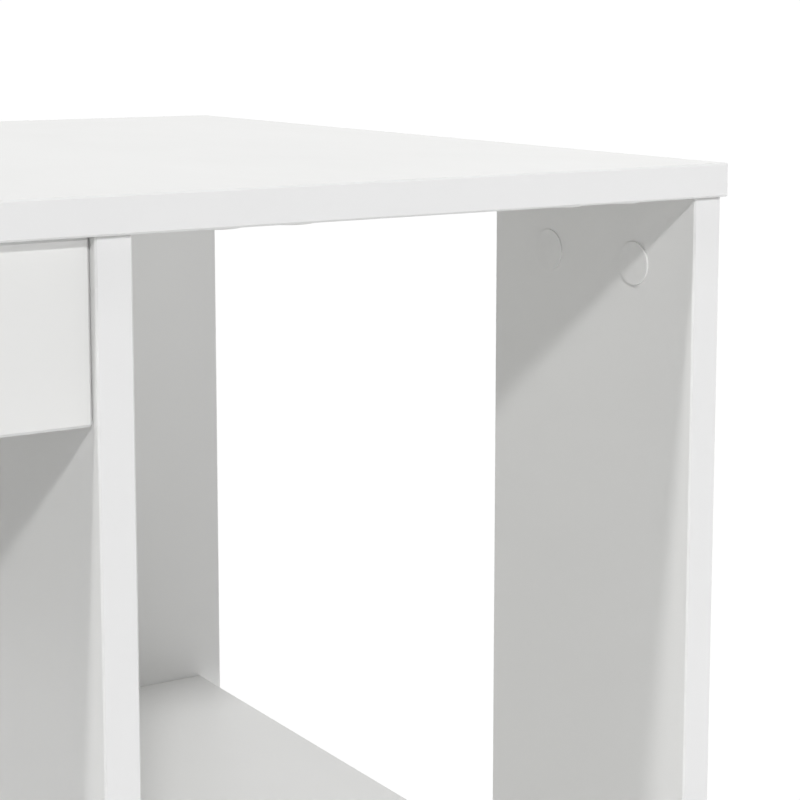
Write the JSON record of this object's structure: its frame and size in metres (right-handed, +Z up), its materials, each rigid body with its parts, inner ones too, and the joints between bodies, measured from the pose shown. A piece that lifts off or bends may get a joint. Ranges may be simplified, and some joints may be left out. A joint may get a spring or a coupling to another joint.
{
  "type": "corner desk",
  "caption": "L-shaped corner desk of plain white boards with open shelf units under both ends, a knee space and a handleless drawer on roller runners.",
  "frame": {"origin": "on the floor, under the middle of the overall box", "axes": "+X along the main wing to the sitter's right, +Y towards the wall behind the main wing, +Z up"},
  "size_m": [1.4, 1, 0.75],
  "materials": {
    "white_melamine": "satin white laminate on particle board",
    "cap_plastic": "satin",
    "zinc": "die cast",
    "plated_steel": "bright zinc plate",
    "beech": "raw beech",
    "hardboard": "white-faced hardboard",
    "nylon": "moulded",
    "runner_enamel": "white enamel"
  },
  "bodies": {
    "desk_frame": {"main_top": "white_melamine", "return_top": "white_melamine", "right_leg_panel": "white_melamine", "divider_panel": "white_melamine", "right_back_panel": "white_melamine", "right_mid_shelf": "white_melamine", "right_bottom_shelf": "white_melamine", "left_side_panel": "white_melamine", "modesty_panel": "white_melamine", "drawer_hanger_panel": "white_melamine", "return_front_gable": "white_melamine", "return_rear_gable": "white_melamine", "return_back_panel": "white_melamine", "return_mid_shelf": "white_melamine", "return_bottom_shelf": "white_melamine", "cam_locks": "zinc", "cam_bolts": "plated_steel", "cam_cover_caps": "cap_plastic", "spare_hole_plugs": "cap_plastic", "dowels": "beech", "back_panel_screws": "plated_steel", "floor_glides": "nylon", "left_cabinet_runner": "runner_enamel", "right_cabinet_runner": "runner_enamel", "cabinet_roller_axles": "plated_steel", "cabinet_runner_screws": "plated_steel"},
    "drawer": {"drawer_front": "white_melamine", "drawer_left_side": "white_melamine", "drawer_right_side": "white_melamine", "drawer_back": "white_melamine", "drawer_bottom": "hardboard", "drawer_cam_locks": "zinc", "drawer_cam_bolts": "plated_steel", "drawer_dowels": "beech", "drawer_back_screws": "plated_steel", "left_drawer_runner": "runner_enamel", "right_drawer_runner": "runner_enamel", "drawer_roller_axles": "plated_steel", "drawer_runner_screws": "plated_steel"},
    "left_cabinet_roller": {"left_cabinet_roller": "nylon"},
    "right_cabinet_roller": {"right_cabinet_roller": "nylon"},
    "left_drawer_roller": {"left_drawer_roller": "nylon"},
    "right_drawer_roller": {"right_drawer_roller": "nylon"}
  },
  "joints": [
    {"name": "drawer_slide", "type": "slide", "parent": "desk_frame", "child": "drawer", "axis": [0, -1, 0], "range_m": [0, 0.26]},
    {"name": "left_cabinet_roller_spin", "type": "hinge", "parent": "desk_frame", "child": "left_cabinet_roller", "pos_m": [0.0033, 0.032, 0.6783], "axis": [1, 0, 0], "continuous": true},
    {"name": "right_cabinet_roller_spin", "type": "hinge", "parent": "desk_frame", "child": "right_cabinet_roller", "pos_m": [0.3927, 0.032, 0.6783], "axis": [1, 0, 0], "continuous": true},
    {"name": "left_drawer_roller_spin", "type": "hinge", "parent": "drawer", "child": "left_drawer_roller", "pos_m": [0.0033, 0.361, 0.6783], "axis": [1, 0, 0], "continuous": true},
    {"name": "right_drawer_roller_spin", "type": "hinge", "parent": "drawer", "child": "right_drawer_roller", "pos_m": [0.3927, 0.361, 0.6783], "axis": [1, 0, 0], "continuous": true}
  ],
  "couplings": [
    {"joint": "left_cabinet_roller_spin", "follows": "drawer_slide", "rad_per_m": 117.65},
    {"joint": "right_cabinet_roller_spin", "follows": "drawer_slide", "rad_per_m": 117.65},
    {"joint": "left_drawer_roller_spin", "follows": "drawer_slide", "rad_per_m": 117.65},
    {"joint": "right_drawer_roller_spin", "follows": "drawer_slide", "rad_per_m": 117.65}
  ]
}
